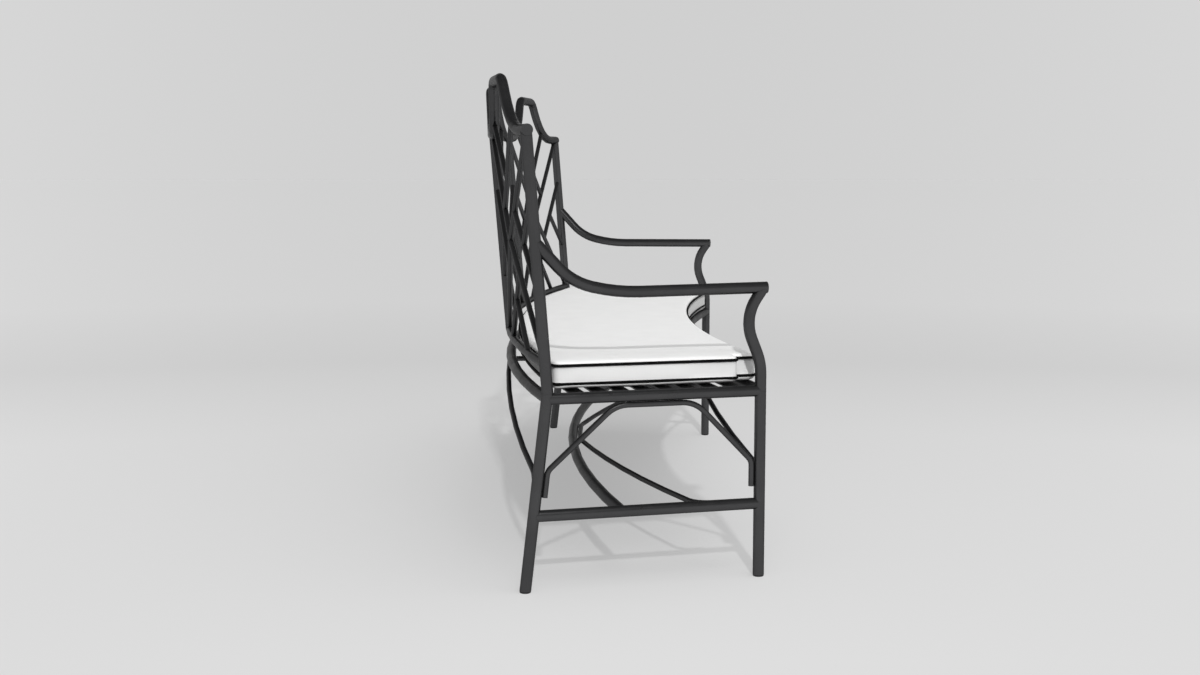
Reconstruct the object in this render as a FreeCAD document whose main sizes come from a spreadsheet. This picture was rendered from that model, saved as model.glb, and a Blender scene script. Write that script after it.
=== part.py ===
# Curved garden bench: a welded tube frame bent to a shallow arc, with a loose seat cushion.
# Millimetres and degrees. +Z is up, X runs along the bench, the sitter faces -Y.
# Left is -X, as seen from the front. The origin is the middle of the footprint, on the ground.
# The bench is a straight bench bent round a far vertical axis in front of it, so a place
# on it is given by its arc radius, its turn from the middle of the bench and its height.
import FreeCAD
import Part
import Sketcher
import math
import os
import re

V = FreeCAD.Vector

# Driving dimensions: name, value, what it measures
SIZES = (
    ("end_angle", 14.65, "half of the arc between the two end frames, in degrees"),
    ("rear_radius", 3948, "arc radius of the back posts and the rear seat rail at the seat"),
    ("seat_depth", 482, "front legs and front seat rail in front of the rear seat rail"),
    ("leg_rake", 6.75, "backward rake of the rear legs, in degrees"),
    ("back_lean", 4.5, "backward lean of the back, in degrees"),
    ("frame_tube", 25.4, "diameter of the legs, posts, arms, rails and stretchers"),
    ("back_tube", 19.05, "diameter of the lower back rail and the mullions"),
    ("thin_bar", 12.7, "diameter of the lattice bars, braces and cross bars"),
    ("weld_gap", 0.3, "clearance between pieces that meet"),
    ("seat_height", 432, "top of the seat rails, where the back posts meet the rear legs"),
    ("stretcher_height", 166, "axis of the stretchers above the ground"),
    ("stretcher_set", 165, "curved stretcher in front of the rear seat rail"),
    ("glide_height", 4, "height of a foot glide"),
    ("glide_inset", 0.4, "how far a foot glide stands inside the leg's surface"),
    ("glide_bevel", 1.2, "bevel of a foot glide's lower edge"),
    ("lower_rail_height", 62, "axis of the lower back rail above the seat"),
    ("crest_height", 556, "axis of the crest rail over the posts and mullions, above the seat"),
    ("crest_rise", 118, "how far the top of a crest hump stands above the rest"),
    ("crest_foot", 177, "half width of a crest hump between its foot corners"),
    ("crest_top", 84.5, "half width of a crest hump between its top corners"),
    ("crest_foot_bend", 222, "bend radius at the foot of a crest hump"),
    ("crest_top_bend", 50, "bend radius at the top of a crest hump"),
    ("lattice_step", 138, "height between neighbouring parallel lattice bars"),
    ("arm_tip_reach", 12, "front end of an arm in front of the front leg"),
    ("arm_tip_height", 215.7, "axis of an arm at its front end, above the seat"),
    ("arm_dip_set", 152, "arm's lower bend in front of the rear seat rail"),
    ("arm_dip_drop", 3.5, "arm's lower bend below its front end"),
    ("arm_dip_bend", 430, "bend radius of the arm's lower bend"),
    ("arm_rise_set", 54.4, "arm's upper bend in front of the rear seat rail"),
    ("arm_rise_height", 20.1, "arm's upper bend above its front end"),
    ("arm_rise_bend", 150, "bend radius of the arm's upper bend"),
    ("arm_post_height", 105.5, "where an arm meets its back post, above the arm's front end"),
    ("support_bend_height", 49, "arm support's lower bend above the seat"),
    ("support_foot_bend", 126, "bend radius of the arm support's lower bend"),
    ("support_belly_height", 150, "arm support's belly above the seat"),
    ("support_belly", 41, "how far the belly's corner stands behind the leg"),
    ("support_belly_bend", 95, "bend radius of the arm support's belly"),
    ("support_lip", 4, "how far the support's top stands in front of the leg"),
    ("brace_tail_height", 40, "lower end of the upright braces above the stretchers"),
    ("brace_knee_height", 97, "where the side braces leave the legs, above the stretchers"),
    ("brace_knee_bend", 25, "bend radius where a side brace leaves a leg"),
    ("side_brace_inset", 151, "upper corners of a side brace from the legs"),
    ("side_brace_bend", 70, "bend radius of a side brace's upper corners"),
    ("long_knee_height", 84, "where the front and rear braces leave the legs, above the stretchers"),
    ("long_knee_bend", 42, "bend radius where a long brace leaves a leg or a stretcher"),
    ("long_brace_angle", 1.7, "inner corners of the long braces from the middle, in degrees"),
    ("long_brace_bend", 200, "bend radius of the long braces' inner corners"),
    ("floor_brace_lift", 2, "axis of the brace beside the curved stretcher, above the stretchers"),
    ("floor_knee_set", 141, "where that brace leaves the side stretchers, behind the front legs"),
    ("floor_tail_set", 84, "where that brace ends, behind the front legs"),
    ("slat_width", 33, "width of a seat slat"),
    ("slat_thickness", 3.2, "thickness of a seat slat"),
    ("slat_pitch", 50.8, "distance between the middles of neighbouring slats"),
    ("slat_set", 5, "middle of the slats in front of the middle of the seat"),
    ("cushion_front_set", 8, "cushion's front corners in front of the front rail's axis"),
    ("cushion_rear_set", 20, "cushion's rear corners in front of the rear rail's axis"),
    ("cushion_end_gap", 25, "cushion's ends from the axes of the end frames"),
    ("cushion_seam_height", 16.6, "lower seam of the cushion above the slats"),
    ("cushion_boxing", 40, "height of the cushion's side walls between the seams"),
    ("cushion_crown", 14, "how far the cushion's top swells above its upper seam"),
    ("cushion_end_crown", 4, "the same swelling at the cushion's ends"),
    ("cushion_draw", 4, "how far the long sides draw in between the corners"),
    ("cushion_bulge", 3, "how far the side walls swell between the seams"),
    ("cushion_notch", 33, "depth of the front corner notches, along the bench"),
    ("cushion_notch_set", 45, "where the corner notches start, behind the front rail's axis"),
)
SLAT_COUNT = 8
SAG = 0.8  # how far the straight steps of a swept tube may leave its true curve, in mm
BAYS = 3  # bays of the back, between the posts and the mullions

doc = FreeCAD.newDocument("curved_bench")
sheet = doc.addObject("Spreadsheet::Sheet", "sizes")
for row, (name, number, note) in enumerate(SIZES, start=1):
    sheet.set(f"A{row}", name)
    sheet.set(f"B{row}", str(number))
    sheet.set(f"C{row}", note)
    sheet.setAlias(f"B{row}", name)
doc.recompute()
NAMES = {name for name, number, note in SIZES}


# Expressions: a size's name in a text stands for its cell in the sheet
def sized(text):
    return re.sub(r"[a-z_]+", lambda word: f"sizes.{word[0]}" if word[0] in NAMES else word[0], text)


def bind(thing, prop, text):
    thing.setExpression(prop, sized(text))


def value(text):
    return float(sheet.evalExpression(sized(text)))


# Places that several pieces share, as expressions
RAIL_AXIS = "(seat_height - frame_tube / 2)"
SIDE_BY_SIDE = "((frame_tube + thin_bar) / 2 + weld_gap)"
FRONT = "(rear_radius - seat_depth)"
STRETCHER = "(rear_radius - stretcher_set)"
SEAT_MIDDLE = "(rear_radius - seat_depth / 2 - slat_set)"
LOWER_RAIL = "(seat_height + lower_rail_height)"
CREST = "(seat_height + crest_height)"
CREST_TOP = f"({CREST} + crest_rise)"
ARM_TIP = "(seat_height + arm_tip_height)"
ARM_TIP_RADIUS = f"({FRONT} - arm_tip_reach)"
ARM_DIP = f"({ARM_TIP} - arm_dip_drop)"
ARM_DIP_RADIUS = "(rear_radius - arm_dip_set)"
ARM_POST = f"({ARM_TIP} + arm_post_height)"
SUPPORT_BEND = "(seat_height + support_bend_height)"
BRACE_TAIL = "(stretcher_height + brace_tail_height)"
BRACE_KNEE = "(stretcher_height + brace_knee_height)"
SLAT_TOP = f"({RAIL_AXIS} + thin_bar / 2 + weld_gap + slat_thickness)"


def back_at(height):
    return f"(rear_radius + ({height} - seat_height) * tan(back_lean))"


def leg_at(height):
    return f"(rear_radius + (seat_height - {height}) * tan(leg_rake))"


FRONT_REACH = f"({ARM_TIP_RADIUS} * cos(end_angle) - frame_tube / 2 * sin(end_angle))"
REAR_REACH = f"({back_at(CREST_TOP)} + frame_tube / 2)"
CENTRE_Y = f"(-({FRONT_REACH} + {REAR_REACH}) / 2)"
LEFT_END = "(-end_angle)"
RIGHT_END = "(end_angle)"


# A frame on the arc's axis whose x points out along the radius at the given turn
def arc_frame(turn):
    return f"placement(vector(0; {CENTRE_Y}; 0); rotation(vector(0; 0; 1); 90 - {turn}))"


# Straight tubes; grow makes a cutting tool that leaves a clearance. The seam lies off the copes.
def straight_tube(label, diameter, start, end, turn, grow="0"):
    tube = doc.addObject("Part::Cylinder", label)
    out = f"({end[0]} - {start[0]})"
    up = f"({end[1]} - {start[1]})"
    bind(tube, "Radius", f"{diameter} / 2 + {grow}")
    bind(tube, "Height", f"sqrt({out}^2 + {up}^2)")
    tilt = f"rotation(vector(0; 1; 0); atan2({out}; {up}))"
    seam = "placement(vector(0; 0; 0); rotation(vector(0; 0; 1); 45))"
    foot = f"placement(vector({start[0]}; 0; {start[1]}); {tilt})"
    bind(tube, "Placement", f"{arc_frame(turn)} * {foot} * {seam}")
    return tube


def cope(label, piece, tools):
    for tool in tools:
        cut = doc.addObject("Part::Cut", f"{label}_cut")
        cut.Base = piece
        cut.Tool = tool
        piece = cut
    piece.Label = label
    return piece


def mirrored(label, source):
    twin = doc.addObject("Part::Mirroring", label)
    twin.Source = source
    twin.Base = V(0, 0, 0)
    twin.Normal = V(1, 0, 0)
    return twin


# Tubes bent in the plane of an end frame: corners joined by lines, each corner rounded
def sketch_on(body, role, name):
    plane = [part for part in body.Origin.OriginFeatures if part.Role == role][0]
    sketch = body.newObject("Sketcher::SketchObject", name)
    sketch.AttachmentSupport = [(plane, "")]
    sketch.MapMode = "FlatFace"
    return sketch


def fix(sketch, kind, places, text):
    index = sketch.addConstraint(Sketcher.Constraint(kind, *places, value(text)))
    bind(sketch, f"Constraints[{index}]", text)


def fix_point(sketch, geometry, vertex, corner):
    fix(sketch, "DistanceX", (-1, 1, geometry, vertex), corner[0])
    fix(sketch, "DistanceY", (-1, 1, geometry, vertex), corner[1])


def rounded_path(sketch, corners, bends):
    points = [V(value(across), value(up), 0) for across, up in corners]
    for start, end in zip(points, points[1:]):
        sketch.addGeometry(Part.LineSegment(start, end), False)
    for line in range(len(bends)):
        sketch.addConstraint(Sketcher.Constraint("Coincident", line, 2, line + 1, 1))
    for line, bend in enumerate(bends):
        arc = sketch.GeometryCount
        before = (points[line] + points[line + 1]) / 2
        after = (points[line + 1] + points[line + 2]) / 2
        sketch.fillet(line, line + 1, before, after, value(bend), True, True)
        fix(sketch, "Radius", (arc,), bend)
        fix_point(sketch, arc + 1, 1, corners[line + 1])
    fix_point(sketch, 0, 1, corners[0])
    fix_point(sketch, len(bends), 2, corners[-1])


def bent_tube(label, diameter, corners, bends, turn):
    body = doc.addObject("PartDesign::Body", label)
    path = sketch_on(body, "XZ_Plane", f"{label}_path")
    rounded_path(path, corners, bends)
    doc.recompute()
    section = body.newObject("Sketcher::SketchObject", f"{label}_section")
    section.AttachmentSupport = [(path, "Edge1")]
    section.MapMode = "NormalToEdge"
    section.addGeometry(Part.Circle(V(0, 0, 0), V(0, 0, 1), value(diameter) / 2), False)
    section.addConstraint(Sketcher.Constraint("Coincident", 0, 3, -1, 1))
    fix(section, "Diameter", (0,), diameter)
    pipe = body.newObject("PartDesign::AdditivePipe", f"{label}_pipe")
    pipe.Profile = section
    pipe.Spine = (path, [])
    bind(body, "Placement", arc_frame(turn))
    return body


# Cutting tools: the neighbours with the weld clearance round them
def clearance_tools(side, turn):
    leg_top = f"({RAIL_AXIS} + frame_tube * 2)"
    below = "(-frame_tube)"
    ground = (leg_at(below), below)
    return {
        "leg": straight_tube(f"leg_tool_{side}", "frame_tube", ground, (leg_at(leg_top), leg_top), turn,
                             "weld_gap"),
        "post": straight_tube(f"post_tool_{side}", "frame_tube", (back_at(RAIL_AXIS), RAIL_AXIS),
                              (back_at(CREST_TOP), CREST_TOP), turn, "weld_gap"),
        "front": straight_tube(f"front_tool_{side}", "frame_tube", (FRONT, "0"),
                               (FRONT, SUPPORT_BEND), turn, "weld_gap"),
        "rail": straight_tube(f"rail_tool_{side}", "frame_tube", (FRONT, RAIL_AXIS),
                              ("rear_radius", RAIL_AXIS), turn, "weld_gap"),
        "stretcher": straight_tube(f"stretcher_tool_{side}", "frame_tube",
                                   (FRONT, "stretcher_height"),
                                   (leg_at("stretcher_height"), "stretcher_height"), turn, "weld_gap"),
        "mullion": straight_tube(f"mullion_tool_{side}", "back_tube",
                                 (back_at(LOWER_RAIL), LOWER_RAIL),
                                 (back_at(CREST), CREST), f"({turn} / {BAYS})",
                                 "weld_gap"),
    }


def level_block(label, bottom, height):
    block = doc.addObject("Part::Box", label)
    bind(block, "Length", "rear_radius")
    bind(block, "Width", "rear_radius")
    bind(block, "Height", height)
    corner = f"vector(-rear_radius / 2; -rear_radius / 2; {bottom})"
    bind(block, "Placement", f"placement({corner}; rotation(vector(0; 0; 1); 0))")
    return block


left = clearance_tools("left", LEFT_END)
right = clearance_tools("right", RIGHT_END)
arm_front_tool = straight_tube("arm_front_tool", "frame_tube",
                               (f"({ARM_TIP_RADIUS} - frame_tube)", ARM_TIP), (ARM_DIP_RADIUS, ARM_DIP),
                               LEFT_END, "weld_gap")
above_legs = level_block("above_legs", "(seat_height - weld_gap)", "seat_height")
below_posts = level_block("below_posts", "0", "seat_height")
below_legs = level_block("below_legs", "(glide_height - seat_height)", "seat_height")
doc.recompute()

# The crest rail, the lattice and the long braces lie on bent surfaces, where no flat sketch
# fits. Each is drawn flat, as on the straight bench, and its path is laid on the surface.
size = {name: float(sheet.get(name)) for name, number, note in SIZES}
centre_y = value(CENTRE_Y)
end_turn = math.radians(size["end_angle"])
lean = math.tan(math.radians(size["back_lean"]))
rake = math.tan(math.radians(size["leg_rake"]))
crest_radius = value(back_at(CREST))
crest_level = value(CREST)
lower_level = value(LOWER_RAIL)
front_radius = value(FRONT)
stretcher_radius = value(STRETCHER)
bay = 2 * end_turn * crest_radius / BAYS
side_by_side = value(SIDE_BY_SIDE)


def place(radius, turn, height):
    return V(radius * math.sin(turn), centre_y + radius * math.cos(turn), height)


def on_back(along, height):
    return place(size["rear_radius"] + (height - size["seat_height"]) * lean, along / crest_radius, height)


def on_front(along, height):
    return place(front_radius, along / front_radius, height)


def on_rear(along, height):
    radius = size["rear_radius"]
    return place(radius + (size["seat_height"] - height) * rake, along / radius, height)


def beside_stretchers(along, radius):
    return place(radius, along / stretcher_radius, size["stretcher_height"] + size["floor_brace_lift"])


# How many straight steps follow a curve of this radius through this turn
def step_count(radius, turn):
    return math.ceil(turn / (2 * math.acos(1 - SAG / radius)))


# A flat path's corner points and the points along its bends
def flat_points(corners, bends):
    points = [V(across, up, 0) for across, up in corners]
    ways = [(end - start).normalize() for start, end in zip(points, points[1:])]
    path = [points[0]]
    for corner, before, after, bend in zip(points[1:], ways, ways[1:], bends):
        turn = before.getAngle(after)
        steps = step_count(bend, turn)
        centre = corner + (after - before).normalize() * (bend / math.cos(turn / 2))
        start = corner - before * (bend * math.tan(turn / 2)) - centre
        axis = before.cross(after).normalize()
        for step in range(steps + 1):
            swing = FreeCAD.Rotation(axis, math.degrees(turn * step / steps))
            path.append(centre + swing.multVec(start))
    path.append(points[-1])
    return path


# The same points on the bent surface, with more along the runs that follow the arc
def laid_points(surface, corners, bends):
    flat = flat_points(corners, bends)
    laid = [surface(*flat[0][:2])]
    for start, end in zip(flat, flat[1:]):
        count = step_count(front_radius, (end - start).Length / front_radius)
        for step in range(1, count + 1):
            laid.append(surface(*(start + (end - start) * (step / count))[:2]))
    return laid


def tube(points, diameter, grow=0):
    radius = diameter / 2 + grow
    path = Part.makePolygon(points)
    section = Part.Wire(Part.makeCircle(radius, points[0], points[1] - points[0]))
    solid = path.makePipeShell([section], True, False, 1)
    full = math.pi * radius ** 2 * path.Length
    if abs(solid.Volume / full - 1) > 0.01:
        raise RuntimeError(f"a tube has the wrong volume: {solid.Volume:.0f} against {full:.0f}")
    return solid


def laid_tube(surface, corners, bends, diameter, grow=0):
    return tube(laid_points(surface, corners, bends), diameter, grow)


def feature(label, shape):
    thing = doc.addObject("Part::Feature", label)
    thing.Shape = shape
    return thing


# Level rails that follow the arc, and the tools that clear them
def arc_shape(diameter, radius, height, grow=0):
    reach = value(radius)
    end = end_turn * reach
    level = value(height)
    return laid_tube(lambda along, up: place(reach, along / reach, up), [(-end, level), (end, level)], [],
                     value(diameter), grow)


gap = size["weld_gap"]
front_rail_tool = feature("front_rail_tool", arc_shape("frame_tube", FRONT, RAIL_AXIS, gap))
rear_rail_tool = feature("rear_rail_tool", arc_shape("frame_tube", "rear_radius", RAIL_AXIS, gap))
lower_rail_tool = feature("lower_rail_tool", arc_shape("back_tube", back_at(LOWER_RAIL), LOWER_RAIL, gap))


# Crest rail: three humps, and ends flush with the outside of the posts
def crest_corners(overhang):
    base = crest_level
    top = base + size["crest_rise"]
    end = 1.5 * bay + overhang
    corners = [(-end, base)]
    for index in range(BAYS):
        middle = (index - 1) * bay
        corners.append((middle - size["crest_foot"], base))
        corners.append((middle - size["crest_top"], top))
        corners.append((middle + size["crest_top"], top))
        corners.append((middle + size["crest_foot"], base))
    corners.append((end, base))
    return corners


rising_bends = [size["crest_foot_bend"], size["crest_top_bend"]]
crest_bends = (rising_bends + rising_bends[::-1]) * BAYS
tube_size = size["frame_tube"]
crest_rail = feature("crest_rail", laid_tube(on_back, crest_corners(tube_size / 2), crest_bends, tube_size))
crest_tool = feature("crest_tool", laid_tube(on_back, crest_corners(tube_size), crest_bends, tube_size,
                                             size["weld_gap"]))


# Height of the crest rail's axis at a distance from the middle of its bay
def crest_axis(across):
    slope = math.atan2(size["crest_rise"], size["crest_foot"] - size["crest_top"])
    bend = size["crest_foot_bend"]
    reach = bend * math.tan(slope / 2)
    level_end = size["crest_foot"] + reach
    bend_end = size["crest_foot"] - reach * math.cos(slope)
    if across >= level_end:
        return crest_level
    if across >= bend_end:
        return crest_level + bend - math.sqrt(bend ** 2 - (level_end - across) ** 2)
    return crest_level + (size["crest_foot"] - across) * math.tan(slope)


# Lattice: bars on two families of parallel lines, named by their slope and their step from
# the middle of the bay. Only the diagonals cross; every other bar stops against a neighbour.
lattice_rise = crest_level - lower_level
lattice_middle = lower_level + lattice_rise / 2
lattice_slope = lattice_rise / bay
half_bay = bay / 2
cross_over = size["lattice_step"] / (2 * lattice_slope)
rail_hit = (lattice_rise / 2 - size["lattice_step"]) / lattice_slope


def line_height(slope, step, across):
    return lattice_middle + step * size["lattice_step"] + slope * lattice_slope * across


def crest_meeting():
    near, far = 0, half_bay
    while far - near > 1e-6:
        middle = (near + far) / 2
        if line_height(1, 1, middle) < crest_axis(middle):
            near = middle
        else:
            far = middle
    return near


crest_hit = crest_meeting()

# Each bar: slope, step, and for either end its distance from the middle and what it stops against
CORNER = ("uprights", "crest", "lower_rail")
BARS = {
    "rising": (1, 0, (-half_bay, CORNER), (half_bay, CORNER)),
    "falling": (-1, 0, (-half_bay, CORNER), (half_bay, CORNER)),
    "crest_long": (-1, 1, (-crest_hit, ("crest",)), (cross_over, ("rising",))),
    "crest_short": (1, 1, (0, ("crest_long",)), (crest_hit, ("crest",))),
    "rail_long": (-1, -1, (-cross_over, ("rising",)), (rail_hit, ("lower_rail",))),
    "rail_short": (1, -1, (-rail_hit, ("lower_rail",)), (0, ("rail_long",))),
    "right_long": (1, -1, (cross_over, ("falling",)), (half_bay, ("uprights",))),
    "right_short": (-1, 1, (2 * cross_over, ("right_long",)), (half_bay, ("uprights",))),
    "left_long": (1, 1, (-half_bay, ("uprights",)), (-cross_over, ("falling",))),
    "left_short": (-1, -1, (-half_bay, ("uprights",)), (-2 * cross_over, ("left_long",))),
}
FRETS = {
    "lattice_rising_diagonals": ("rising",),
    "lattice_falling_diagonals": ("falling",),
    "lattice_crest_frets": ("crest_long", "crest_short"),
    "lattice_rail_frets": ("rail_long", "rail_short"),
    "lattice_right_frets": ("right_long", "right_short"),
    "lattice_left_frets": ("left_long", "left_short"),
}
UPRIGHTS = (
    (left["post"], left["mullion"]),
    (left["mullion"], right["mullion"]),
    (right["mullion"], right["post"]),
)


# A bar's axis is straight between its ends, apart from the diagonals, which bend where they cross
def bar_points(middle, name):
    slope, step, start, end = BARS[name]
    points = []
    for across, stops in (start, end):
        if stops[0] in BARS:
            points.append(bar_axis(middle, stops[0], across))
        else:
            points.append(on_back(middle + across, line_height(slope, step, across)))
    if step == 0:
        points.insert(1, on_back(middle, lattice_middle))
    return points


def bar_axis(middle, name, across):
    points = bar_points(middle, name)
    start, end = (BARS[name][2][0], BARS[name][3][0])
    if len(points) == 3 and across < 0:
        points, end = points[:2], 0
    elif len(points) == 3:
        points, start = points[1:], 0
    return points[0] + (points[1] - points[0]) * ((across - start) / (end - start))


def lattice_bar(index, name):
    middle = (index - 1) * bay
    frame = {
        "uprights": [upright.Shape for upright in UPRIGHTS[index]],
        "crest": [crest_tool.Shape],
        "lower_rail": [lower_rail_tool.Shape],
    }
    stops = BARS[name][2][1] + BARS[name][3][1]
    if name == "falling":
        stops += ("rising",)
    shape = tube(bar_points(middle, name), size["thin_bar"])
    for stop in dict.fromkeys(stops):
        tools = frame.get(stop) or [tube(bar_points(middle, stop), size["thin_bar"], size["weld_gap"])]
        shape = shape.cut(tools)
    return shape.Solids


def lattice_node(label, names):
    solids = []
    for index in range(BAYS):
        for name in names:
            solids += lattice_bar(index, name)
    return feature(label, Part.makeCompound(solids))


lattice = [lattice_node(label, names) for label, names in FRETS.items()]


# Long braces: tails, knees, and a run beside a rail or the stretcher in the middle
def long_brace(label, surface, tail, corner, foot, knee, level):
    corners = [(-tail(foot), foot), (-tail(knee), knee), (-corner, level)]
    corners += [(-across, up) for across, up in reversed(corners)]
    bends = [size["long_knee_bend"], size["long_brace_bend"]]
    return feature(label, laid_tube(surface, corners, bends + bends[::-1], size["thin_bar"]))


# In front and at the rear the tails stand beside the legs and the middle run is under the rail
def upright_brace(label, surface, radius):
    tail = end_turn * radius - side_by_side
    knee = size["stretcher_height"] + size["long_knee_height"]
    corner = math.radians(size["long_brace_angle"]) * radius
    return long_brace(label, surface, lambda height: tail, corner, value(BRACE_TAIL), knee,
                      value(RAIL_AXIS) - side_by_side)


# The floor brace has the same form, level in front of the curved stretcher
def floor_brace(label):
    corner = math.radians(size["long_brace_angle"]) * stretcher_radius
    return long_brace(label, beside_stretchers,
                      lambda radius: (end_turn - math.asin(side_by_side / radius)) * stretcher_radius,
                      corner, front_radius + size["floor_tail_set"], front_radius + size["floor_knee_set"],
                      stretcher_radius - side_by_side - SAG)


front_brace = upright_brace("front_brace", on_front, front_radius)
rear_brace = upright_brace("rear_brace", on_rear, size["rear_radius"])
stretcher_brace = floor_brace("stretcher_brace")


# End frames: each left piece is made and coped, and the right one mirrors it. Pieces with many
# bends are one node for both ends, which keeps the model light.
def rear_leg():
    below = "(-frame_tube)"
    above = "(seat_height + frame_tube)"
    raw = straight_tube("rear_leg_raw", "frame_tube", (leg_at(below), below), (leg_at(above), above),
                        LEFT_END)
    return cope("rear_leg_left", raw, [above_legs, below_legs])


def back_post():
    below = "(seat_height - frame_tube)"
    raw = straight_tube("back_post_raw", "frame_tube", (back_at(below), below),
                        (back_at(CREST), CREST), LEFT_END)
    return cope("back_post_left", raw, [below_posts, crest_tool])


def front_leg():
    return straight_tube("front_leg_left", "frame_tube", (FRONT, "glide_height"),
                         (FRONT, f"({RAIL_AXIS} - weld_gap)"), LEFT_END)


def arm_support():
    corners = [
        (FRONT, RAIL_AXIS),
        (FRONT, SUPPORT_BEND),
        (f"({FRONT} + support_belly)", "(seat_height + support_belly_height)"),
        (f"({FRONT} - support_lip)", ARM_TIP),
    ]
    bends = ["support_foot_bend", "support_belly_bend"]
    raw = bent_tube("arm_support_raw", "frame_tube", corners, bends, LEFT_END)
    return cope("arm_support_left", raw, [arm_front_tool])


def arm():
    corners = [
        (ARM_TIP_RADIUS, ARM_TIP),
        (ARM_DIP_RADIUS, ARM_DIP),
        ("(rear_radius - arm_rise_set)", f"({ARM_TIP} + arm_rise_height)"),
        (back_at(ARM_POST), ARM_POST),
    ]
    raw = bent_tube("arm_raw", "frame_tube", corners, ["arm_dip_bend", "arm_rise_bend"], LEFT_END)
    return cope("arm_left", raw, [left["post"]])


def side_brace():
    level = f"({RAIL_AXIS} - {SIDE_BY_SIDE})"
    rear_side = f"{SIDE_BY_SIDE} / cos(leg_rake)"
    front_tail = f"({FRONT} + {SIDE_BY_SIDE})"
    corners = [
        (f"({leg_at(BRACE_TAIL)} - {rear_side})", BRACE_TAIL),
        (f"({leg_at(BRACE_KNEE)} - {rear_side})", BRACE_KNEE),
        ("(rear_radius - side_brace_inset)", level),
        (f"({FRONT} + side_brace_inset)", level),
        (front_tail, BRACE_KNEE),
        (front_tail, BRACE_TAIL),
    ]
    bends = ["brace_knee_bend", "side_brace_bend", "side_brace_bend", "brace_knee_bend"]
    return bent_tube("side_brace_left", "thin_bar", corners, bends, LEFT_END)


def side_seat_rail():
    raw = straight_tube("side_seat_rail_raw", "frame_tube", (FRONT, RAIL_AXIS),
                        (leg_at(RAIL_AXIS), RAIL_AXIS), LEFT_END)
    return cope("side_seat_rail_left", raw, [left["front"], left["leg"],
                                             front_rail_tool, rear_rail_tool])


def side_stretcher():
    raw = straight_tube("side_stretcher_raw", "frame_tube", (FRONT, "stretcher_height"),
                        (leg_at("stretcher_height"), "stretcher_height"), LEFT_END)
    return cope("side_stretcher_left", raw, [left["front"], left["leg"]])


def back_mullion():
    raw = straight_tube("back_mullion_raw", "back_tube",
                        (back_at(LOWER_RAIL), LOWER_RAIL),
                        (back_at(CREST), CREST), f"({LEFT_END} / {BAYS})")
    return cope("back_mullion_left", raw, [lower_rail_tool, crest_tool])


def seat_cross_bar():
    raw = straight_tube("seat_cross_bar_raw", "thin_bar", (FRONT, RAIL_AXIS),
                        ("rear_radius", RAIL_AXIS), f"({LEFT_END} / {BAYS})")
    return cope("seat_cross_bar_left", raw, [front_rail_tool, rear_rail_tool])


def compound(label, pieces):
    group = doc.addObject("Part::Compound", label)
    group.Links = pieces
    return group


def pair(label, piece):
    return compound(label, [piece, mirrored(f"{label}_twin", piece)])


left_pieces = [rear_leg(), back_post(), front_leg(), side_seat_rail(), side_stretcher(), back_mullion(),
               seat_cross_bar()]
right_pieces = [mirrored(piece.Label.replace("_left", "_right"), piece) for piece in left_pieces]
pairs = [pair("arm_supports", arm_support()), pair("arms", arm()), pair("side_braces", side_brace())]


# Rails and stretcher that follow the arc from end to end
def end_to_end(label, diameter, radius, height, tool_names):
    raw = feature(f"{label}_raw", arc_shape(diameter, radius, height))
    tools = [side[name] for side in (left, right) for name in tool_names]
    return cope(label, raw, tools)


front_seat_rail = end_to_end("front_seat_rail", "frame_tube", FRONT, RAIL_AXIS, ["front"])
rear_seat_rail = end_to_end("rear_seat_rail", "frame_tube", "rear_radius", RAIL_AXIS, ["leg"])
lower_back_rail = end_to_end("lower_back_rail", "back_tube", back_at(LOWER_RAIL), LOWER_RAIL, ["post"])
curved_stretcher = end_to_end("curved_stretcher", "frame_tube", STRETCHER, "stretcher_height",
                              ["stretcher"])


# Seat slats: flat strips on edge-to-edge arcs, resting on the cross bars
def seat_slat(index):
    body = doc.addObject("PartDesign::Body", f"slat_{index + 1}_raw")
    section = sketch_on(body, "XZ_Plane", f"slat_{index + 1}_section")
    middle = f"({SEAT_MIDDLE} + ({2 * index + 1 - SLAT_COUNT}) * slat_pitch / 2)"
    inner = f"({middle} - slat_width / 2)"
    outer = f"({middle} + slat_width / 2)"
    lower = f"({SLAT_TOP} - slat_thickness)"
    corners = [(inner, lower), (outer, lower), (outer, SLAT_TOP), (inner, SLAT_TOP)]
    points = [V(value(across), value(up), 0) for across, up in corners]
    for start, end in zip(points, points[1:] + points[:1]):
        section.addGeometry(Part.LineSegment(start, end), False)
    for line in range(4):
        section.addConstraint(Sketcher.Constraint("Coincident", line, 2, (line + 1) % 4, 1))
        fix_point(section, line, 1, corners[line])
    doc.recompute()
    strip = body.newObject("PartDesign::Revolution", f"slat_{index + 1}_strip")
    strip.Profile = section
    strip.ReferenceAxis = (section, ["V_Axis"])
    strip.Midplane = True
    bind(strip, "Angle", "2 * end_angle")
    bind(body, "Placement", arc_frame("0"))
    return cope(f"slat_{index + 1}", body, [left["rail"], right["rail"]])


seat_slats = compound("seat_slats", [seat_slat(index) for index in range(SLAT_COUNT)])


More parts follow.
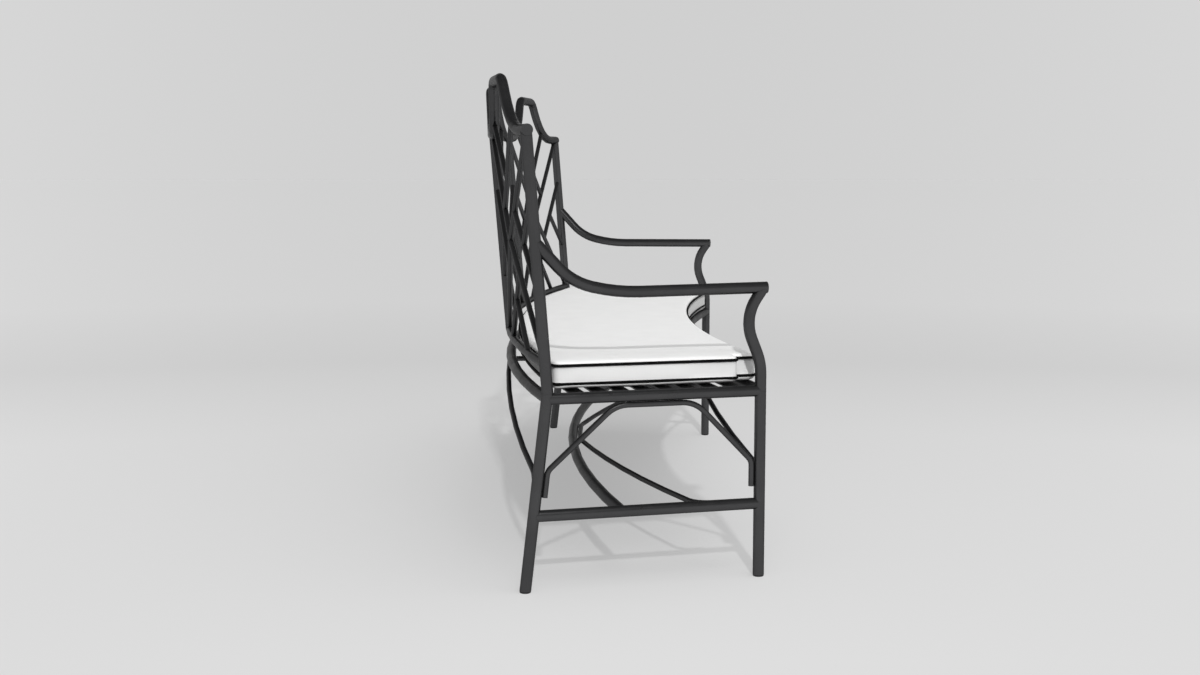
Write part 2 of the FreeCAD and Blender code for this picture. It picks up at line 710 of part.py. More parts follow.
# Foot glides: turned plugs with a bevelled lower edge
def foot_glide(label, radius, turn):
    body = doc.addObject("PartDesign::Body", label)
    section = sketch_on(body, "XZ_Plane", f"{label}_section")
    rim = "(frame_tube / 2 - glide_inset)"
    corners = [("0", "0"), (rim, "0"), (rim, "glide_height"), ("0", "glide_height")]
    points = [V(value(across), value(up), 0) for across, up in corners]
    for start, end in zip(points, points[1:] + points[:1]):
        section.addGeometry(Part.LineSegment(start, end), False)
    for line in range(4):
        section.addConstraint(Sketcher.Constraint("Coincident", line, 2, (line + 1) % 4, 1))
    section.addConstraint(Sketcher.Constraint("Horizontal", 0))
    section.addConstraint(Sketcher.Constraint("Vertical", 1))
    section.addConstraint(Sketcher.Constraint("Horizontal", 2))
    section.addConstraint(Sketcher.Constraint("Coincident", 0, 1, -1, 1))
    section.addConstraint(Sketcher.Constraint("PointOnObject", 2, 2, -2))
    fix(section, "DistanceX", (0, 1, 0, 2), rim)
    fix(section, "DistanceY", (1, 1, 1, 2), "glide_height")
    doc.recompute()
    plug = body.newObject("PartDesign::Revolution", f"{label}_plug")
    plug.Profile = section
    plug.ReferenceAxis = (section, ["V_Axis"])
    plug.Angle = 360
    doc.recompute()
    lower_edge = min(range(len(plug.Shape.Edges)), key=lambda at: plug.Shape.Edges[at].BoundBox.ZMax)
    bevel = body.newObject("PartDesign::Chamfer", f"{label}_bevel")
    bevel.Base = (plug, [f"Edge{lower_edge + 1}"])
    bind(bevel, "Size", "glide_bevel")
    foot = f"placement(vector({radius}; 0; 0); rotation(vector(0; 0; 1); 0))"
    bind(body, "Placement", f"{arc_frame(turn)} * {foot}")
    return body


glides = []
for side, turn in (("left", LEFT_END), ("right", RIGHT_END)):
    glides.append(foot_glide(f"front_glide_{side}", FRONT, turn))
    glides.append(foot_glide(f"rear_glide_{side}", leg_at("glide_height"), turn))
foot_glides = compound("foot_glides", glides)


# Cushion: one crowned form, lofted through sections across the seat. A section has a swollen
# top, bottom and side walls; the long sides draw in between the corners, and the ends flatten.
def cushion_section(turn, share):
    middle = 1 - share ** 2
    low_crown = size["cushion_end_crown"]
    crown = low_crown + (size["cushion_crown"] - low_crown) * (1 - share ** 8)
    front = front_radius - size["cushion_front_set"] + size["cushion_draw"] * middle
    rear = size["rear_radius"] - size["cushion_rear_set"] - size["cushion_draw"] * middle
    rest = value(SLAT_TOP) + size["weld_gap"]
    lower = rest + size["cushion_seam_height"]
    upper = lower + size["cushion_boxing"]
    belly = size["cushion_seam_height"] * crown / size["cushion_crown"]
    bulge = size["cushion_bulge"]
    middle_radius = (front + rear) / 2
    middle_height = (lower + upper) / 2
    outline = [
        ((front, lower), (middle_radius, lower - belly), (rear, lower)),
        ((rear, lower), (rear + bulge, middle_height), (rear, upper)),
        ((rear, upper), (middle_radius, upper + crown), (front, upper)),
        ((front, upper), (front - bulge, middle_height), (front, lower)),
    ]
    edges = []
    for arc in outline:
        edges.append(Part.Arc(*[place(radius, turn, height) for radius, height in arc]).toShape())
    return Part.Wire(edges)


def seat_cushion():
    cushion_turn = end_turn - size["cushion_end_gap"] / value(SEAT_MIDDLE)
    shares = (-1, -0.94, -0.6, 0, 0.6, 0.94, 1)
    sections = [cushion_section(share * cushion_turn, share) for share in shares]
    form = Part.makeLoft(sections, True, False)
    reach = front_radius + size["cushion_notch_set"]
    depth = size["cushion_notch_set"] + size["cushion_front_set"] + size["frame_tube"]
    width = size["cushion_notch"]
    for side in (-1, 1):
        notch = Part.makeBox(depth, 2 * width, size["seat_height"])
        notch.translate(V(reach - depth, -width, size["seat_height"] / 2))
        turn = FreeCAD.Rotation(V(0, 0, 1), 90 - side * math.degrees(cushion_turn))
        notch.Placement = FreeCAD.Placement(V(0, centre_y, 0), turn) * notch.Placement
        form = form.cut(notch)
    return feature("seat_cushion", form)


cushion = seat_cushion()

# Check every object and write each sub-part to its own file
pieces = left_pieces + right_pieces + pairs + lattice
pieces += [front_seat_rail, rear_seat_rail, seat_slats, crest_rail, lower_back_rail, curved_stretcher]
pieces += [front_brace, rear_brace, stretcher_brace, foot_glides, cushion]
doc.recompute()
for thing in doc.Objects:
    if "Invalid" in thing.State or "Error" in thing.State:
        raise RuntimeError(f"{thing.Label} failed: {thing.State}")
for piece in pieces:
    if piece.Shape.isNull() or not piece.Shape.isValid() or not piece.Shape.Solids:
        raise RuntimeError(f"{piece.Label} has no valid shape")
os.makedirs("parts", exist_ok=True)
for piece in pieces:
    piece.Shape.exportStep(f"parts/{piece.Label}.step")
    print(f"{piece.Label}: {len(piece.Shape.Solids)} solids, {piece.Shape.Volume / 1000:.1f} cm3")
whole = Part.makeCompound([piece.Shape for piece in pieces]).BoundBox
print(f"{len(pieces)} nodes, {whole.XLength:.1f} x {whole.YLength:.1f} x {whole.ZLength:.1f} mm")
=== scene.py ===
import math

import bpy
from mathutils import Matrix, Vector
from mathutils.kdtree import KDTree


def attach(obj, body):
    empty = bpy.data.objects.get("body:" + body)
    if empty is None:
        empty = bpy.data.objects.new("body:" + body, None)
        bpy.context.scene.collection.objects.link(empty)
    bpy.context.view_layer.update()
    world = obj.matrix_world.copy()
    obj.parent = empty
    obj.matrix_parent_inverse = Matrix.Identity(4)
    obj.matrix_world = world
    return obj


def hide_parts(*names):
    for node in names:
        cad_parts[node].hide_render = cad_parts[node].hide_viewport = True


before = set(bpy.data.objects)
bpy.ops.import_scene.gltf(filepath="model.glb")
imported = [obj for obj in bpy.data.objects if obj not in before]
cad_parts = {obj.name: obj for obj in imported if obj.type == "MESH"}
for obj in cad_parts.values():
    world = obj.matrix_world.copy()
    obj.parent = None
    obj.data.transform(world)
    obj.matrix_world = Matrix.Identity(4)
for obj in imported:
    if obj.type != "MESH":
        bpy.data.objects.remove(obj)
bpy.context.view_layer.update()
scene = bpy.context.scene

UP = Vector((0, 0, 1))
TINY = 1e-9

# Lengths are in metres. The bench is bent round a vertical axis in front of it, so a place on the
# cushion goes by its radius, its turn from the middle and its height.
CENTRE_Y = -3.67612
# The cushion ends a little before the end frames, measured at the middle of the slats
END_TURN = math.radians(14.65)
END_GAP = 0.025
SLATS_RADIUS = 3.702
CUSHION_TURN = END_TURN - END_GAP / SLATS_RADIUS
FRONT_RADIUS = 3.458
REAR_RADIUS = 3.928
MEAN_RADIUS = (FRONT_RADIUS + REAR_RADIUS) / 2
# How far the long sides are drawn in at the middle
SIDE_DRAW = 0.004
# The front corners are notched round the arm supports
NOTCH_RADIUS = 3.511
NOTCH_WIDTH = 0.033
# The cushion's underside, just above the slats, and its two piped seams
REST_HEIGHT = 0.42945
LOWER_SEAM = 0.44605
UPPER_SEAM = 0.48605

# Where the photograph was taken from
VIEWPOINT = (-4.2194, CENTRE_Y + 3.7078, 0.93095)


# Node trees
# Most of a noise texture lies between these two values
NOISE_LOW = 0.3
NOISE_HIGH = 0.7
# A wave texture of scale 1 repeats after this length
WAVE_LENGTH = math.pi / 10


def grey(tone):
    return (tone, tone, tone)


class Nodes:
    """A node tree, with short calls for making and joining nodes."""

    def __init__(self, tree, coordinates):
        self.tree = tree
        self.where = self.add("ShaderNodeTexCoord").outputs[coordinates]

    def add(self, kind, **settings):
        """A new node. Each setting goes to the socket of that name, or else to the property."""
        node = self.tree.nodes.new(kind)
        for key, setting in settings.items():
            if key in node.inputs:
                node.inputs[key].default_value = setting
            else:
                setattr(node, key, setting)
        return node

    def join(self, source, node, socket):
        self.tree.links.new(source, node.inputs[socket])

    def feed(self, node, *terms):
        """Fills a node's first sockets, each from another node or with a fixed value."""
        for socket, term in enumerate(terms):
            if isinstance(term, bpy.types.NodeSocket):
                self.join(term, node, socket)
            else:
                node.inputs[socket].default_value = term

    def calc(self, operation, first, second, clamp=False):
        node = self.add("ShaderNodeMath", operation=operation, use_clamp=clamp)
        self.feed(node, first, second)
        return node.outputs["Value"]

    def scaled(self, source, low, high, start=0.0, end=1.0):
        """Turns values from start to end into values from low to high, and holds them beyond."""
        node = self.add("ShaderNodeMapRange")
        node.inputs["From Min"].default_value = start
        node.inputs["From Max"].default_value = end
        node.inputs["To Min"].default_value = low
        node.inputs["To Max"].default_value = high
        self.join(source, node, "Value")
        return node.outputs["Result"]

    def noise(self, scale, detail=2.0, rough=0.5):
        node = self.add("ShaderNodeTexNoise", Scale=scale, Detail=detail, Roughness=rough)
        self.join(self.where, node, "Vector")
        return node.outputs["Fac"]

    def spread(self, noise, low, high):
        return self.scaled(noise, low, high, NOISE_LOW, NOISE_HIGH)

    def wave(self, direction, period, distortion):
        node = self.add("ShaderNodeTexWave", bands_direction=direction, Scale=WAVE_LENGTH / period,
                        Distortion=distortion, Detail=1.0)
        self.join(self.where, node, "Vector")
        return node.outputs["Fac"]

    def tint(self, source, stops):
        """Colours a value by stops, each of which is a value and its colour."""
        node = self.add("ShaderNodeValToRGB")
        ramp = node.color_ramp
        while len(ramp.elements) < len(stops):
            ramp.elements.new(0.5)
        for element, (position, colour) in zip(ramp.elements, stops):
            element.position = position
            element.color = (*colour, 1.0)
        self.join(source, node, "Fac")
        return node.outputs["Color"]

    def bump(self, height, strength, distance, under=None):
        node = self.add("ShaderNodeBump", Strength=strength, Distance=distance)
        self.join(height, node, "Height")
        if under is not None:
            self.join(under, node, "Normal")
        return node.outputs["Normal"]

    def direct_rays(self):
        """One for rays that show the pale surroundings as they are: seen, mirrored or through glass."""
        rays = self.add("ShaderNodeLightPath").outputs
        total = rays["Is Camera Ray"]
        for kind in ("Is Glossy Ray", "Is Transmission Ray"):
            total = self.calc("ADD", total, rays[kind], clamp=True)
        return total

    def show(self, unseen, seen, output):
        """Gives the output one shader for direct rays and another for light that bounces."""
        choice = self.add("ShaderNodeMixShader")
        self.feed(choice, self.direct_rays(), unseen.outputs[0], seen.outputs[0])
        self.join(choice.outputs[0], self.tree.nodes[output], "Surface")


# Materials
def surface(name):
    """A new material, its nodes and its main shader."""
    material = bpy.data.materials.new(name)
    material.use_nodes = True
    tree = material.node_tree
    return material, Nodes(tree, "Object"), tree.nodes["Principled BSDF"]


def powder_coat():
    """Satin charcoal coat: slightly uneven in tone and gloss, with a fine orange peel."""
    material, nodes, shader = surface("charcoal_powder_coat")
    blotch = nodes.noise(scale=9.0, detail=4.0, rough=0.55)
    stops = [(NOISE_LOW, (0.073, 0.073, 0.075)), (NOISE_HIGH, (0.089, 0.089, 0.091))]
    nodes.join(nodes.tint(blotch, stops), shader, "Base Color")
    gloss = nodes.noise(scale=45.0, detail=3.0)
    nodes.join(nodes.spread(gloss, low=0.27, high=0.35), shader, "Roughness")
    shader.inputs["Metallic"].default_value = 0.84
    shader.inputs["Specular Tint"].default_value = (0.40, 0.40, 0.40, 1.0)
    shader.inputs["Specular IOR Level"].default_value = 0.10
    peel = nodes.bump(nodes.noise(scale=420.0), strength=0.10, distance=0.0006)
    grain = nodes.bump(nodes.noise(scale=1900.0), strength=0.12, distance=0.0002, under=peel)
    nodes.join(grain, shader, "Normal")
    return material


def glide_plastic():
    material, nodes, shader = surface("glide_plastic")
    stops = [(NOISE_LOW, (0.010, 0.010, 0.011)), (NOISE_HIGH, (0.018, 0.018, 0.019))]
    nodes.join(nodes.tint(nodes.noise(scale=60.0, detail=3.0), stops), shader, "Base Color")
    nodes.join(nodes.spread(nodes.noise(scale=300.0), low=0.52, high=0.66), shader, "Roughness")
    nodes.join(nodes.bump(nodes.noise(scale=1500.0), strength=0.2, distance=0.0002), shader, "Normal")
    return material


def woven(name, light, dark, period, sheen):
    """Cloth with threads along all three axes, uneven yarn and shallow creases."""
    material, nodes, shader = surface(name)
    threads = nodes.wave("X", period, distortion=0.6)
    for direction in ("Y", "Z"):
        threads = nodes.calc("ADD", threads, nodes.wave(direction, period, distortion=0.6))
    yarn = nodes.noise(scale=14.0, detail=5.0, rough=0.6)
    slub = nodes.calc("ADD", nodes.calc("MULTIPLY", threads, 0.05), yarn)
    nodes.join(nodes.tint(slub, [(0.35, dark), (0.95, light)]), shader, "Base Color")
    nodes.join(nodes.spread(nodes.noise(scale=220.0), low=0.78, high=0.9), shader, "Roughness")
    creases = nodes.bump(nodes.noise(scale=7.0, detail=3.0), strength=0.12, distance=0.004)
    weave = nodes.bump(threads, strength=0.12, distance=0.00025, under=creases)
    nodes.join(weave, shader, "Normal")
    shader.inputs["Sheen Weight"].default_value = sheen
    shader.inputs["Sheen Roughness"].default_value = 0.5
    shader.inputs["Specular IOR Level"].default_value = 0.12
    return material


def dress(thing, finish):
    thing.data.materials.clear()
    thing.data.materials.append(finish)


coat = powder_coat()
plastic = glide_plastic()
canvas = woven("white_canvas", light=(0.93, 0.93, 0.925), dark=(0.87, 0.87, 0.865), period=0.0016, sheen=0.15)
trim = woven("black_piping_cloth", light=grey(0.006), dark=grey(0.003), period=0.0011, sheen=0.0)
for name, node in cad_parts.items():
    dress(node, plastic if name == "foot_glides" else coat)


def add_mesh(name, points, faces):
    mesh = bpy.data.meshes.new(name)
    mesh.from_pydata(points, [], faces)
    mesh.update()
    thing = bpy.data.objects.new(name, mesh)
    scene.collection.objects.link(thing)
    return thing


def shade_smooth(mesh):
    for face in mesh.polygons:
        face.use_smooth = True


# Cushion: a grid of cells over the seat's plan, finer along the seams, with the notched corners
# left out. Lengths along the bench are measured on the middle arc.
CELL = 0.0125
FINE = (0.0, 0.0025, 0.0060, 0.0105, 0.0165)
# The plan's corners are rounded as far as one of the fine lines
FRONT_CORNER = FINE[3]
REAR_CORNER = FINE[4]


def lines_between(low, high):
    """Grid lines from low to high: the fine ones at both ends and even cells between them."""
    first = [low + step for step in FINE]
    last = [high - step for step in reversed(FINE)]
    span = last[0] - first[-1]
    if span < CELL / 2:
        middle = (low + high) / 2
        first = [line for line in first if line < middle - CELL / 4]
        last = [line for line in last if line > middle + CELL / 4]
        span = last[0] - first[-1]
    count = max(1, round(span / CELL))
    return first + [first[-1] + span * index / count for index in range(1, count)] + last


def lines_through(*marks):
    """Grid lines through all marks, and how many cells lie between the first two."""
    lines = lines_between(marks[0], marks[1])
    first_cells = len(lines) - 1
    for low, high in zip(marks[1:], marks[2:]):
        lines += lines_between(low, high)[1:]
    return lines, first_cells


HALF_LENGTH = CUSHION_TURN * MEAN_RADIUS
NOTCH_LENGTH = NOTCH_WIDTH * MEAN_RADIUS / ((FRONT_RADIUS + NOTCH_RADIUS) / 2)
INNER_LENGTH = HALF_LENGTH - NOTCH_LENGTH
LENGTHS, NOTCH_COLUMNS = lines_through(-HALF_LENGTH, -INNER_LENGTH, INNER_LENGTH, HALF_LENGTH)
DEPTHS, NOTCH_ROWS = lines_through(0.0, NOTCH_RADIUS - FRONT_RADIUS, REAR_RADIUS - FRONT_RADIUS)
COLUMNS = len(LENGTHS) - 1
ROWS = len(DEPTHS) - 1


def in_notch(column, row):
    return row < NOTCH_ROWS and (column < NOTCH_COLUMNS or column >= COLUMNS - NOTCH_COLUMNS)


CELLS = [(column, row) for column in range(COLUMNS) for row in range(ROWS) if not in_notch(column, row)]


def ring(column, row):
    """A cell's grid corners, in order round it."""
    return [(column, row), (column + 1, row), (column + 1, row + 1), (column, row + 1)]


def outline():
    """Grid corners round the plan, in order, with the cells on the left."""
    present = set(CELLS)
    steps = {}
    for column, row in CELLS:
        corners = ring(column, row)
        beside = [(column, row - 1), (column + 1, row), (column, row + 1), (column - 1, row)]
        for index, neighbour in enumerate(beside):
            if neighbour not in present:
                steps[corners[index]] = corners[(index + 1) % 4]
    start = min(steps)
    loop = [start]
    while steps[loop[-1]] != start:
        loop.append(steps[loop[-1]])
    return loop


LOOP = outline()
# Corners to round: grid column and row, the ways inwards along and across, and how far
ROUND_CORNERS = [
    (0, ROWS, 1, -1, REAR_CORNER),
    (COLUMNS, ROWS, -1, -1, REAR_CORNER),
    (0, NOTCH_ROWS, 1, 1, FRONT_CORNER),
    (COLUMNS, NOTCH_ROWS, -1, 1, FRONT_CORNER),
    (NOTCH_COLUMNS, 0, 1, 1, FRONT_CORNER),
    (COLUMNS - NOTCH_COLUMNS, 0, -1, 1, FRONT_CORNER),
]


def plan(column, row):
    """Distance along the middle arc and across the seat of a grid corner, with its corners rounded."""
    along = LENGTHS[column]
    across = DEPTHS[row]
    for corner_column, corner_row, way_along, way_across, reach in ROUND_CORNERS:
        a = reach - (along - LENGTHS[corner_column]) * way_along
        b = reach - (across - DEPTHS[corner_row]) * way_across
        if 0 < a <= reach + TINY and 0 < b <= reach + TINY:
            shrink = max(a, b) / math.hypot(a, b)
            along = LENGTHS[corner_column] + (reach - a * shrink) * way_along
            across = DEPTHS[corner_row] + (reach - b * shrink) * way_across
    return along, across


def laid(along, across, height):
    """The place in the scene of a point of the plan, with the long sides drawn in at the middle."""
    turn = along / MEAN_RADIUS
    share = abs(turn) / CUSHION_TURN
    draw = SIDE_DRAW * (1 - min(share, 1.0) ** 2)
    middle = (REAR_RADIUS - FRONT_RADIUS) / 2
    radius = FRONT_RADIUS + across + draw * (middle - across) / middle
    return Vector((radius * math.sin(turn), CENTRE_Y + radius * math.cos(turn), height))


# The panels' edges: width of the rolled strip, its radius, and the angle at which it leaves the seam
EDGE_REACH = 0.0165
EDGE_RADIUS = 0.0080
EDGE_START = {"upper": math.radians(-38), "lower": math.radians(-62)}
# The panels' slight crown, and the distance from the seam over which most of it rises
BROAD_CROWN = 0.003
CROWN_REACH = 0.09
WALL_ROWS = 4


def rolled(rim, spot, begin):
    """A panel's point and its height off the seam: a round edge over the seam, and a slight crown."""
    near, _, distance = rim.find((*spot, 0.0))
    angle = begin + (math.pi / 2 - begin) * min(distance / EDGE_REACH, 1.0)
    height = EDGE_RADIUS * (math.sin(angle) - math.sin(begin))
    height += BROAD_CROWN * (1 - math.exp(-distance / CROWN_REACH))
    inward = EDGE_RADIUS * (math.cos(begin) - math.cos(angle))
    if distance > EDGE_REACH:
        share = min((distance - EDGE_REACH) / EDGE_REACH, 1.0)
        inward += (2 * EDGE_REACH - inward) * share + max(distance - 2 * EDGE_REACH, 0.0)
    along = near.x + (spot[0] - near.x) * inward / distance
    across = near.y + (spot[1] - near.y) * inward / distance
    return along, across, height


def cushion_cover():
    """The cover, made of two panels and a wall, and the points along its two seams."""
    flat = {corner: plan(*corner) for cell in CELLS for corner in ring(*cell)}
    rim = KDTree(len(LOOP))
    for index, corner in enumerate(LOOP):
        rim.insert((*flat[corner], 0.0), index)
    rim.balance()
    on_rim = set(LOOP)
    points = []
    found = {}
    for level, seam, way in (("lower", LOWER_SEAM, -1), ("upper", UPPER_SEAM, 1)):
        for corner in sorted(flat):
            along, across = flat[corner]
            height = 0.0
            if corner not in on_rim:
                along, across, height = rolled(rim, flat[corner], EDGE_START[level])
            found[level, corner] = len(points)
            points.append(laid(along, across, seam + way * height))
    for level in range(1, WALL_ROWS):
        share = level / WALL_ROWS
        for corner in LOOP:
            found[level, corner] = len(points)
            points.append(laid(*flat[corner], LOWER_SEAM + (UPPER_SEAM - LOWER_SEAM) * share))
    faces = []
    for cell in CELLS:
        faces.append([found["upper", corner] for corner in reversed(ring(*cell))])
        faces.append([found["lower", corner] for corner in ring(*cell)])
    levels = ["lower", *range(1, WALL_ROWS), "upper"]
    for below, above in zip(levels, levels[1:]):
        for first, second in zip(LOOP, LOOP[1:] + LOOP[:1]):
            faces.append([found[below, second], found[below, first],
                          found[above, first], found[above, second]])
    seams = {level: [found[level, corner] for corner in LOOP] for level in ("lower", "upper")}
    return add_mesh("seat_cushion_cover", points, faces), seams


# The cover's swell: pressure, stiffness, number of steps, and the cap on how far a point moves
PRESSURE = 4.0
STRETCH_STIFFNESS = 30.0
BENDING_STIFFNESS = 4.0
SWELL_STEPS = 20
SWELL_CAP = 0.004
# The flat of the cover lies this far above the cushion's underside, and its edge is this soft
CONTACT_GAP = 0.0002
CONTACT_BLEND = 0.002


def soft_cap(move, most):
    length = move.length
    if length < TINY:
        return move
    return move * (most * math.tanh(length / most) / length)


def inflate(thing, seams):
    """Swells the cover by air pressure with its seams held, and caps how far a point moves."""
    held = thing.vertex_groups.new(name="seams")
    held.add(seams["lower"] + seams["upper"], 1.0, "REPLACE")
    cloth = thing.modifiers.new("swell", "CLOTH")
    settings = cloth.settings
    settings.vertex_group_mass = "seams"
    settings.use_pressure = True
    settings.uniform_pressure_force = PRESSURE
    settings.effector_weights.gravity = 0.0
    settings.quality = 5
    settings.tension_stiffness = STRETCH_STIFFNESS
    settings.compression_stiffness = STRETCH_STIFFNESS
    settings.bending_stiffness = BENDING_STIFFNESS
    cloth.collision_settings.use_collision = False
    for step in range(1, SWELL_STEPS + 1):
        scene.frame_set(step)
    shaped = thing.evaluated_get(bpy.context.evaluated_depsgraph_get())
    moved = [point.co.copy() for point in shaped.data.vertices]
    rest = [point.co.copy() for point in thing.data.vertices]
    thing.modifiers.remove(cloth)
    scene.frame_set(1)
    for point, old, new in zip(thing.data.vertices, rest, moved):
        point.co = old + soft_cap(new - old, SWELL_CAP)


def flatten_below(mesh, height, blend):
    """Rests the cover on a level surface with a soft edge to the contact."""
    for point in mesh.vertices:
        above = point.co.z - height
        point.co.z = height + (above + math.sqrt(above * above + blend * blend)) / 2


cushion, seams = cushion_cover()
inflate(cushion, seams)
seam_lines = {level: [cushion.data.vertices[index].co.copy() for index in seams[level]] for level in seams}
flatten_below(cushion.data, REST_HEIGHT + CONTACT_GAP, CONTACT_BLEND)
shade_smooth(cushion.data)
round_off = cushion.modifiers.new("round_off", "SUBSURF")
round_off.levels = 1
round_off.render_levels = 1
dress(cushion, canvas)
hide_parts("seat_cushion")
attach(cushion, "cushion")


# Piping: a round welt along each seam, which stands out from it a little
WELT_RADIUS = 0.0032
WELT_OUT = 0.0012
WELT_SIDES = 10


def welt(name, line):
    count = len(line)
    points = []
    faces = []
    for index in range(count):
        after = (index + 1) % count
        way = (line[after] - line[index - 1]).normalized()
        outward = way.cross(UP).normalized()
        middle = line[index] + outward * WELT_OUT
        for side in range(WELT_SIDES):
            angle = 2 * math.pi * side / WELT_SIDES
            points.append(middle + (outward * math.cos(angle) + UP * math.sin(angle)) * WELT_RADIUS)
            here = index * WELT_SIDES
            ahead = after * WELT_SIDES
            turn = (side + 1) % WELT_SIDES
            faces.append([here + side, ahead + side, ahead + turn, here + turn])
    thing = add_mesh(name, points, faces)
    shade_smooth(thing.data)
    dress(thing, trim)
    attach(thing, "cushion")


for level, line in seam_lines.items():
    welt(f"{level}_piping", line)


# Floor: a glow of painted light and shade, whose tone goes by distance from the viewpoint (VIEWPOINT)
FLOOR_HALF = 60.0
FLOOR_REACH = 40.0
# Painted light and shade: the glow's tone at each distance from the viewpoint. The dip at 7.1 m is a painted
# shade band behind the bench.
FLOOR_PAINTED_LIGHT = [(2.9, 0.376), (3.5, 0.364), (5.3, 0.343), (7.1, 0.287), (10.0, 0.330), (40.0, 0.325)]
# Colour on which light and shadow show, and the darker one from which light bounces
FLOOR_SEEN = 0.35
FLOOR_UNSEEN = 0.15
# Painted light that brightens the floor's glow towards the sides, and the distances over which it comes in
SIDE_PAINTED_LIGHT = 1.1
SIDE_START = 2.9
SIDE_FULL = 5.3
# Squared sine of the angle off the middle at which the brightening towards the sides levels off: the painted
# light on the floor and the room's light
SIDE_LIMIT = 0.15


def studio_floor():
    """Pale floor. Seen directly, it glows with painted light and shade on top of its lit colour: brighter
    near the viewpoint, a painted shade band behind the bench, and lighter towards the sides. Light that
    bounces off it sees a darker colour, so that it throws little light up.
    """
    material, nodes, shader = surface("pale_floor")
    nodes.tree.nodes.remove(shader)
    away = nodes.add("ShaderNodeVectorMath", operation="SUBTRACT")
    nodes.feed(away, nodes.where, VIEWPOINT)
    length = nodes.add("ShaderNodeVectorMath", operation="LENGTH")
    nodes.feed(length, away.outputs["Vector"])
    distance = length.outputs["Value"]
    parts = nodes.add("ShaderNodeSeparateXYZ")
    nodes.feed(parts, away.outputs["Vector"])
    # Painted light: the glow grows brighter with the squared sine off the middle, from SIDE_START to
    # SIDE_FULL
    aside = nodes.calc("POWER", nodes.calc("DIVIDE", parts.outputs["Y"], distance), 2.0)
    aside = nodes.calc("MINIMUM", aside, SIDE_LIMIT)
    aside = nodes.calc("MULTIPLY", aside, nodes.scaled(distance, 0.0, 1.0, SIDE_START, SIDE_FULL))
    stops = [(spot / FLOOR_REACH, grey(tone)) for spot, tone in FLOOR_PAINTED_LIGHT]
    # Painted light and shade: the floor glows in the tone set for its distance from the viewpoint
    painted_glow = nodes.add("ShaderNodeEmission")
    nodes.join(nodes.tint(nodes.calc("DIVIDE", distance, FLOOR_REACH), stops), painted_glow, "Color")
    nodes.join(nodes.calc("ADD", 1.0, nodes.calc("MULTIPLY", aside, SIDE_PAINTED_LIGHT)), painted_glow, "Strength")
    lit = nodes.add("ShaderNodeBsdfDiffuse", Color=(*grey(FLOOR_SEEN), 1.0))
    unseen = nodes.add("ShaderNodeBsdfDiffuse", Color=(*grey(FLOOR_UNSEEN), 1.0))
    seen = nodes.add("ShaderNodeAddShader")
    nodes.feed(seen, lit.outputs[0], painted_glow.outputs[0])
    nodes.show(unseen, seen, "Material Output")
    return material


floor_corners = [(-FLOOR_HALF, -FLOOR_HALF, 0), (FLOOR_HALF, -FLOOR_HALF, 0),
                 (FLOOR_HALF, FLOOR_HALF, 0), (-FLOOR_HALF, FLOOR_HALF, 0)]
floor = add_mesh("floor", floor_corners, [(0, 1, 2, 3)])
dress(floor, studio_floor())


# Surroundings. Seen or mirrored, they are a pale backdrop up to head height, a little brighter
# towards the sides, and a darker room above it; each stop is the upward part of the direction.
ROOM_TONES = [(0.0, 0.63), (0.26, 0.63), (0.45, 0.12), (1.0, 0.05)]
ROOM_SIDE = 1.08
# The light that they give is strongest from this direction
SKY_SIDE = (-0.36, -0.34, 0.87)
SKY_POWER = 3.0
SKY_LOW = 0.12
SKY_HIGH = 1.46


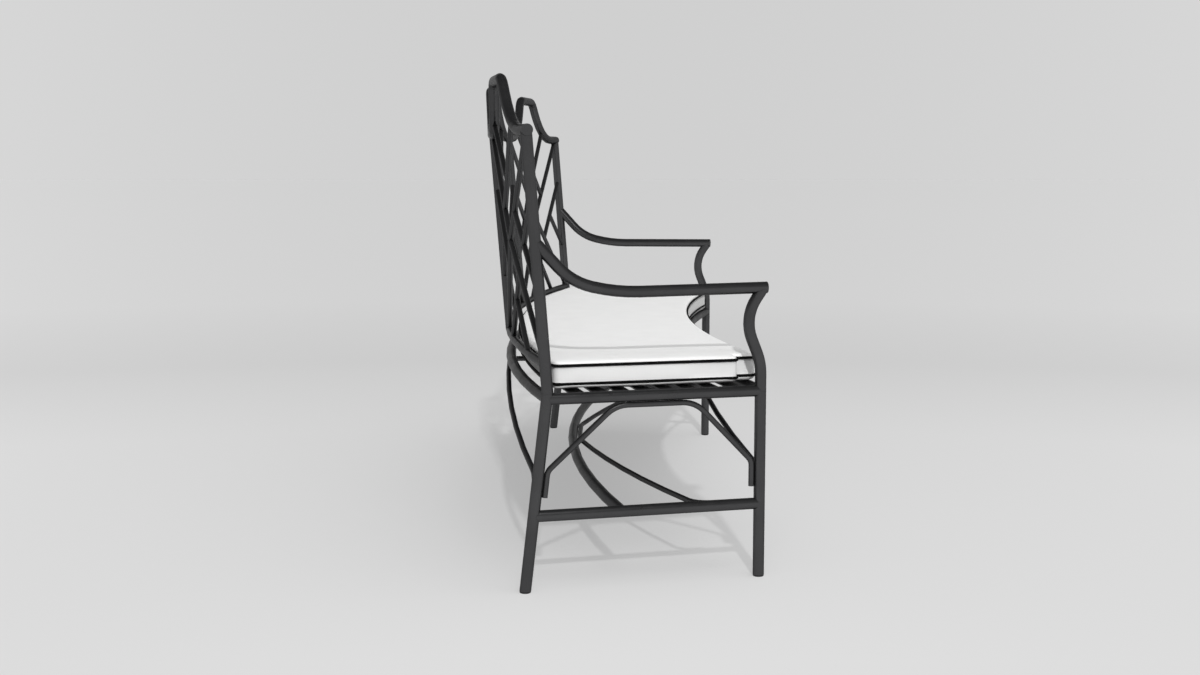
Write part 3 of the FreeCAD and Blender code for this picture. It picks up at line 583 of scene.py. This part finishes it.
def studio_world():
    """Soft light from all round, strongest from above, from the photograph's side and from the front."""
    world = bpy.data.worlds.new("studio")
    world.use_nodes = True
    nodes = Nodes(world.node_tree, "Generated")

    def toward(direction):
        node = nodes.add("ShaderNodeVectorMath", operation="DOT_PRODUCT")
        nodes.feed(node, nodes.where, Vector(direction).normalized())
        return node.outputs["Value"]

    sky = world.node_tree.nodes["Background"]
    sky.inputs["Color"].default_value = (1.0, 1.0, 1.0, 1.0)
    lobe = nodes.calc("POWER", nodes.scaled(toward(SKY_SIDE), 0.0, 1.0), SKY_POWER)
    nodes.join(nodes.scaled(lobe, SKY_LOW, SKY_HIGH), sky, "Strength")
    room = nodes.add("ShaderNodeBackground")
    aside = nodes.calc("POWER", toward((0, 1, 0)), 2.0)
    nodes.join(nodes.scaled(aside, 1.0, ROOM_SIDE, end=SIDE_LIMIT), room, "Strength")
    stops = [(rise, grey(tone)) for rise, tone in ROOM_TONES]
    nodes.join(nodes.tint(toward(UP), stops), room, "Color")
    nodes.show(sky, room, "World Output")
    return world


scene.world = studio_world()


# Lamps
def sun(name, azimuth, elevation, strength, softness):
    """A distant lamp; azimuth is where it stands, in degrees from +X towards +Y."""
    lamp = bpy.data.lights.new(name, "SUN")
    lamp.energy = strength
    lamp.angle = math.radians(softness)
    thing = bpy.data.objects.new(name, lamp)
    flat = math.cos(math.radians(elevation))
    stand = Vector((flat * math.cos(math.radians(azimuth)), flat * math.sin(math.radians(azimuth)),
                    math.sin(math.radians(elevation))))
    thing.rotation_euler = stand.to_track_quat("Z", "Y").to_euler()
    thing.visible_glossy = False
    scene.collection.objects.link(thing)


def soft_box(name, spot, target, width, power):
    """A square lamp that lights the near end more than the far one."""
    lamp = bpy.data.lights.new(name, "AREA")
    lamp.energy = power
    lamp.size = width
    thing = bpy.data.objects.new(name, lamp)
    thing.location = spot
    thing.rotation_euler = (Vector(spot) - Vector(target)).to_track_quat("Z", "Y").to_euler()
    scene.collection.objects.link(thing)


sun("key", azimuth=185, elevation=34.5, strength=1.55, softness=2.0)
soft_box("near_box", spot=(-3.0, -0.2, 2.9), target=(-0.6, 0.0, 0.45), width=1.2, power=20.0)

# The photograph's camera, which looks along +X and a little down, in degrees. Its focal length was
# solved in the photograph's pixels.
PHOTO_WIDTH = 1200
FOCAL_PIXELS = 1530
SENSOR_WIDTH = 36.0
CAMERA_DIP = 6.717

lens = bpy.data.cameras.new("photo_camera")
lens.sensor_width = SENSOR_WIDTH
lens.lens = FOCAL_PIXELS / PHOTO_WIDTH * SENSOR_WIDTH
lens.dof.use_dof = False
camera = bpy.data.objects.new("photo_camera", lens)
camera.location = VIEWPOINT
camera.rotation_euler = (math.radians(90 - CAMERA_DIP), 0.0, math.radians(-90))
scene.collection.objects.link(camera)
scene.camera = camera
scene.view_settings.view_transform = "Standard"
